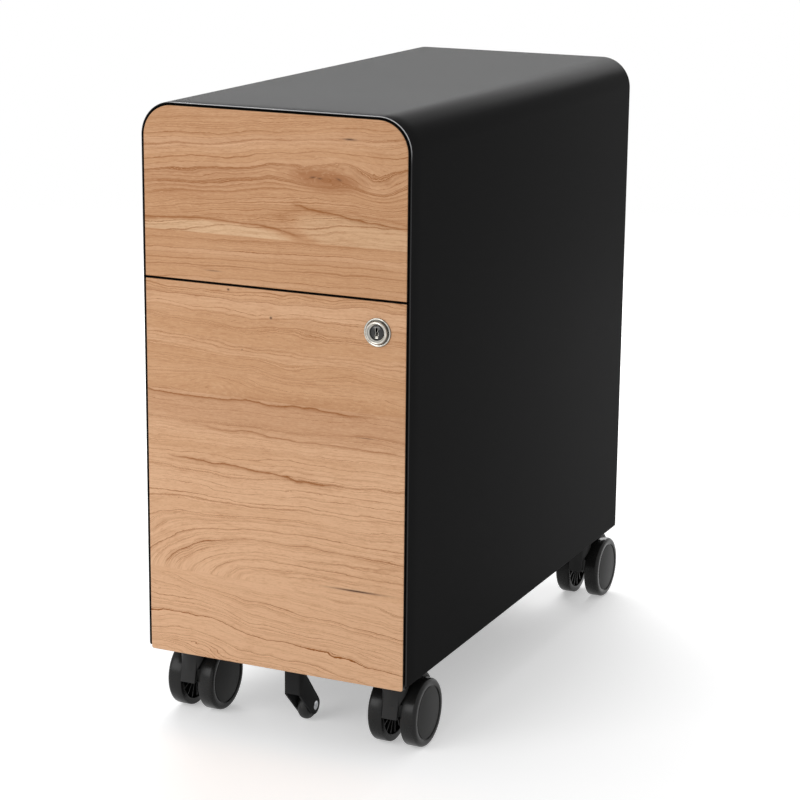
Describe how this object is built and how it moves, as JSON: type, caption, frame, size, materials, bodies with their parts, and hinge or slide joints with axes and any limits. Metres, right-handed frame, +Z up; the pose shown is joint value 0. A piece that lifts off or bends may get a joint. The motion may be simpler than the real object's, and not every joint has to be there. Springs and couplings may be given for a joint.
{
  "type": "filing cabinet",
  "caption": "Slim mobile filing cabinet: rounded bent-steel casing, supply drawer over a lockable hanging-file drawer with wooden fronts, swivel twin-wheel casters and an anti-tip wheel.",
  "frame": {"origin": "on the floor, under the middle of the whole cabinet's box", "axes": "+Z up, the drawer fronts face -Y, +X to the right seen from the front"},
  "size_m": [0.273, 0.5924, 0.605],
  "materials": {
    "black_powder_coat": "fine-textured satin powder coat",
    "drawer_powder_coat": "satin powder coat",
    "wood_front": "clear satin lacquer on straight-grained wood",
    "zinc_slide": "bright zinc plate",
    "nickel": "polished nickel plate",
    "dark_plug": "dark plated brass",
    "zinc_steel": "zinc plate",
    "caster_plastic": "moulded nylon, satin",
    "wheel_plastic": "moulded wheel with a bonded soft tread",
    "latch_plastic": "moulded plastic"
  },
  "bodies": {
    "casing": {"casing_wrap": "black_powder_coat", "back_panel": "black_powder_coat", "base_pan": "black_powder_coat", "cross_rail": "black_powder_coat", "left_front_upright": "black_powder_coat", "left_rear_upright": "black_powder_coat", "right_front_upright": "black_powder_coat", "right_rear_upright": "black_powder_coat", "upper_left_outer_rail": "zinc_slide", "upper_right_outer_rail": "zinc_slide", "file_left_outer_rail": "zinc_slide", "file_right_outer_rail": "zinc_slide", "push_latch_body": "latch_plastic", "caster_stems": "zinc_steel", "caster_nuts": "zinc_steel"},
    "upper_slide_middle": {"upper_left_middle_rail": "zinc_slide", "upper_right_middle_rail": "zinc_slide"},
    "file_slide_middle": {"file_left_middle_rail": "zinc_slide", "file_right_middle_rail": "zinc_slide"},
    "upper_drawer": {"upper_front": "wood_front", "upper_drawer_tray": "drawer_powder_coat", "upper_drawer_back": "drawer_powder_coat", "upper_drawer_inner_front": "drawer_powder_coat", "upper_left_inner_rail": "zinc_slide", "upper_right_inner_rail": "zinc_slide"},
    "file_drawer": {"file_front": "wood_front", "file_drawer_tray": "drawer_powder_coat", "file_drawer_back": "drawer_powder_coat", "file_drawer_inner_front": "drawer_powder_coat", "file_left_inner_rail": "zinc_slide", "file_right_inner_rail": "zinc_slide", "front_file_bar": "zinc_steel", "rear_file_bar": "zinc_steel", "lock_housing": "nickel", "lock_nut": "zinc_steel", "anti_tip_bracket": "black_powder_coat", "anti_tip_axle": "zinc_steel"},
    "lock": {"lock_plug": "dark_plug", "lock_cam": "zinc_steel"},
    "push_plunger": {"push_latch_plunger": "latch_plastic"},
    "anti_tip_roller": {"anti_tip_wheel": "wheel_plastic"},
    "front_left_caster": {"front_left_hood": "caster_plastic", "front_left_axle": "zinc_steel"},
    "front_left_left_wheel": {"front_left_left_wheel": "wheel_plastic"},
    "front_left_right_wheel": {"front_left_right_wheel": "wheel_plastic"},
    "front_right_caster": {"front_right_hood": "caster_plastic", "front_right_axle": "zinc_steel"},
    "front_right_left_wheel": {"front_right_left_wheel": "wheel_plastic"},
    "front_right_right_wheel": {"front_right_right_wheel": "wheel_plastic"},
    "rear_left_caster": {"rear_left_hood": "caster_plastic", "rear_left_axle": "zinc_steel"},
    "rear_left_left_wheel": {"rear_left_left_wheel": "wheel_plastic"},
    "rear_left_right_wheel": {"rear_left_right_wheel": "wheel_plastic"},
    "rear_right_caster": {"rear_right_hood": "caster_plastic", "rear_right_axle": "zinc_steel"},
    "rear_right_left_wheel": {"rear_right_left_wheel": "wheel_plastic"},
    "rear_right_right_wheel": {"rear_right_right_wheel": "wheel_plastic"}
  },
  "joints": [
    {"name": "upper_drawer_slide", "type": "slide", "parent": "casing", "child": "upper_drawer", "axis": [0, -1, 0], "range_m": [0, 0.48]},
    {"name": "upper_middle_slide", "type": "slide", "parent": "casing", "child": "upper_slide_middle", "axis": [0, -1, 0], "range_m": [0, 0.24]},
    {"name": "file_drawer_slide", "type": "slide", "parent": "casing", "child": "file_drawer", "axis": [0, -1, 0], "range_m": [0, 0.48]},
    {"name": "file_middle_slide", "type": "slide", "parent": "casing", "child": "file_slide_middle", "axis": [0, -1, 0], "range_m": [0, 0.24]},
    {"name": "lock_turn", "type": "hinge", "parent": "file_drawer", "child": "lock", "pos_m": [0.1055, -0.29168, 0.4122], "axis": [0, 1, 0], "range_deg": [0, 90]},
    {"name": "push_latch_press", "type": "slide", "parent": "casing", "child": "push_plunger", "axis": [0, 1, 0], "range_m": [0, 0.004], "stiffness_N_per_m": 400},
    {"name": "anti_tip_spin", "type": "hinge", "parent": "file_drawer", "child": "anti_tip_roller", "pos_m": [0, -0.22107, 0.016], "axis": [1, 0, 0], "continuous": true},
    {"name": "front_left_swivel", "type": "hinge", "parent": "casing", "child": "front_left_caster", "pos_m": [-0.1085, -0.25257, 0.0735], "axis": [0, 0, 1], "continuous": true},
    {"name": "front_left_left_spin", "type": "hinge", "parent": "front_left_caster", "child": "front_left_left_wheel", "pos_m": [-0.1085, -0.23008, 0.03325], "axis": [1, 0, 0], "continuous": true},
    {"name": "front_left_right_spin", "type": "hinge", "parent": "front_left_caster", "child": "front_left_right_wheel", "pos_m": [-0.1085, -0.23008, 0.03325], "axis": [1, 0, 0], "continuous": true},
    {"name": "front_right_swivel", "type": "hinge", "parent": "casing", "child": "front_right_caster", "pos_m": [0.1085, -0.25257, 0.0735], "axis": [0, 0, 1], "continuous": true},
    {"name": "front_right_left_spin", "type": "hinge", "parent": "front_right_caster", "child": "front_right_left_wheel", "pos_m": [0.1085, -0.23008, 0.03325], "axis": [1, 0, 0], "continuous": true},
    {"name": "front_right_right_spin", "type": "hinge", "parent": "front_right_caster", "child": "front_right_right_wheel", "pos_m": [0.1085, -0.23008, 0.03325], "axis": [1, 0, 0], "continuous": true},
    {"name": "rear_left_swivel", "type": "hinge", "parent": "casing", "child": "rear_left_caster", "pos_m": [-0.1085, 0.24042, 0.0735], "axis": [0, 0, 1], "continuous": true},
    {"name": "rear_left_left_spin", "type": "hinge", "parent": "rear_left_caster", "child": "rear_left_left_wheel", "pos_m": [-0.1085, 0.26293, 0.03325], "axis": [1, 0, 0], "continuous": true},
    {"name": "rear_left_right_spin", "type": "hinge", "parent": "rear_left_caster", "child": "rear_left_right_wheel", "pos_m": [-0.1085, 0.26293, 0.03325], "axis": [1, 0, 0], "continuous": true},
    {"name": "rear_right_swivel", "type": "hinge", "parent": "casing", "child": "rear_right_caster", "pos_m": [0.1085, 0.24042, 0.0735], "axis": [0, 0, 1], "continuous": true},
    {"name": "rear_right_left_spin", "type": "hinge", "parent": "rear_right_caster", "child": "rear_right_left_wheel", "pos_m": [0.1085, 0.26293, 0.03325], "axis": [1, 0, 0], "continuous": true},
    {"name": "rear_right_right_spin", "type": "hinge", "parent": "rear_right_caster", "child": "rear_right_right_wheel", "pos_m": [0.1085, 0.26293, 0.03325], "axis": [1, 0, 0], "continuous": true}
  ],
  "couplings": [
    {"joint": "upper_middle_slide", "follows": "upper_drawer_slide", "ratio": 0.5},
    {"joint": "file_middle_slide", "follows": "file_drawer_slide", "ratio": 0.5}
  ]
}
